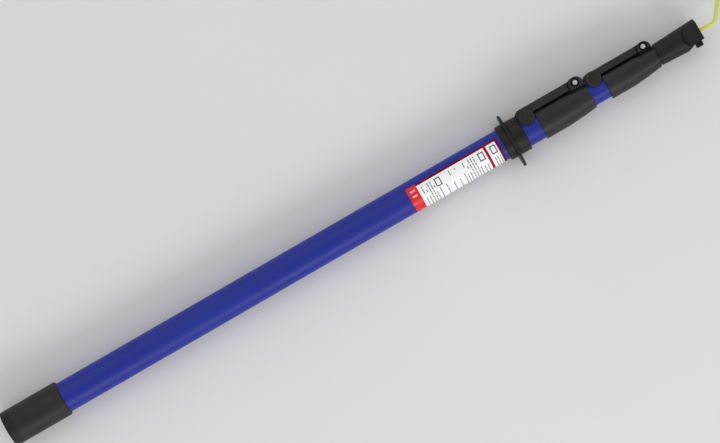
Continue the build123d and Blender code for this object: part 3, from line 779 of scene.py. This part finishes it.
def tie_strap():
    """Webbing loop: a flat section with rounded edges, a superellipse in width and thickness, carried
    along the strap's line."""
    centre, _ = coil_frame()
    line, even = strap_line()
    ahead = np.gradient(line, axis=0)
    ahead /= np.linalg.norm(ahead, axis=1)[:, None]
    outward = np.stack([-ahead[:, 1], ahead[:, 0]], axis=-1)
    t = np.linspace(0.0, 2 * np.pi, TIE_CORNERS, endpoint=False)
    wide = TIE_WIDE / 2 * np.sign(np.cos(t)) * np.abs(np.cos(t)) ** 0.18
    thick = TIE_THICK / 2 * np.sign(np.sin(t)) * np.abs(np.sin(t)) ** 0.5
    x = centre[0] + line[:, None, 0] + thick[None, :] * outward[:, None, 0]
    z = line[:, None, 1] + thick[None, :] * outward[:, None, 1]
    y = centre[1] + np.broadcast_to(wide[None, :], x.shape)
    last = (TIE_RINGS - 1) * TIE_CORNERS
    faces = grid_quads(TIE_RINGS, TIE_CORNERS, True).tolist()
    faces += [list(range(TIE_CORNERS)), list(range(last, last + TIE_CORNERS))]
    obj = new_piece("lanyard_tie", np.stack([x, y, z], axis=-1), faces, FINISHES["tie_webbing"])
    corner = np.empty(len(obj.data.loops), dtype=np.int32)
    obj.data.loops.foreach_get("vertex_index", corner)
    weave = np.stack([even[corner // TIE_CORNERS], wide[corner % TIE_CORNERS]], axis=-1)
    obj.data.uv_layers.new(name="weave").data.foreach_set("uv", weave.ravel())
    flip_outwards(obj)
    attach(obj, "tip_section")
    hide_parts("cord_tie")
    return obj


def lanyard():
    """The free cord: out of the nose, down to the floor, round the coil and into its knot."""
    points = np.concatenate([np.array(ROUTE), coil_points(), tail_points()])
    line, run = spline_line(points)
    cord = braided("lanyard", line, run, CORD_DIAMETER, STRAND_PITCH)
    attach(cord, "tip_section")
    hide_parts("cord_run", "cord_coil")
    end_knot()
    tie_strap()


# ---- camera, floor and light ----
def camera():
    """Long lens straight down on the pole, turned so that the pole climbs to the right."""
    lens = bpy.data.cameras.new("camera")
    lens.lens = 180.0
    lens.sensor_width = 36.0
    lens.clip_end = 50.0
    seen_width, middle, climb_deg = 0.855, (0.4853, 0.0053), 30.0
    obj = bpy.data.objects.new("camera", lens)
    obj.location = (*middle, seen_width * lens.lens / lens.sensor_width)
    obj.rotation_euler = (0.0, 0.0, -math.radians(climb_deg))
    bpy.context.collection.objects.link(obj)
    bpy.context.scene.camera = obj


def area_light(name, place, aim, width, height, power, spread_deg=180.0):
    """Rectangular soft light at a place, aimed at a point, its long side along the pole."""
    light = bpy.data.lights.new(name, "AREA")
    light.shape = "RECTANGLE"
    light.size = width
    light.size_y = height
    light.energy = power
    light.spread = math.radians(spread_deg)
    obj = bpy.data.objects.new(name, light)
    away = np.array(place, float) - np.array(aim, float)
    away /= np.linalg.norm(away)
    up = np.cross(away, [1.0, 0.0, 0.0])
    up /= np.linalg.norm(up)
    matrix = np.eye(4)
    matrix[:3, 0], matrix[:3, 1], matrix[:3, 2], matrix[:3, 3] = np.cross(up, away), up, away, place
    obj.matrix_world = matrix.T.tolist()
    bpy.context.collection.objects.link(obj)


def stage_floor():
    """Pale matt floor, level with the underside of the butt cap."""
    half = 30.0
    corners = np.array([(-half, -half), (half, -half), (half, half), (-half, half)])
    points = np.concatenate([corners, np.full((4, 1), FLOOR_Z)], axis=1)
    f = Finish("floor_paint", 0.9, 0.1)
    tone = f.mix(f.noise(0.4), paint(226, 226, 228), paint(230, 230, 232))
    floor = new_piece("floor", points, [[0, 1, 2, 3]], f.done(tone))


def studio():
    """Even white world, a strip along the pole for its highlight, and a broad fill from the other side."""
    scene = bpy.context.scene
    scene.view_settings.view_transform = "Standard"
    world = bpy.data.worlds.new("studio")
    world.use_nodes = True
    sky = world.node_tree.nodes["Background"].inputs
    sky["Color"].default_value = (1.0, 1.0, 1.0, 1.0)
    sky["Strength"].default_value = 0.57
    scene.world = world
    aim = (0.5, 0.0, 0.0)
    area_light("strip_softbox", (0.5, -1.75, 1.0), aim, width=3.2, height=0.7, power=7.3, spread_deg=90.0)
    area_light("broad_fill", (0.5, 1.9, 1.9), aim, width=4.0, height=3.0, power=20.0)


finish_nodes()
print_label()
lanyard()
camera()
stage_floor()
studio()
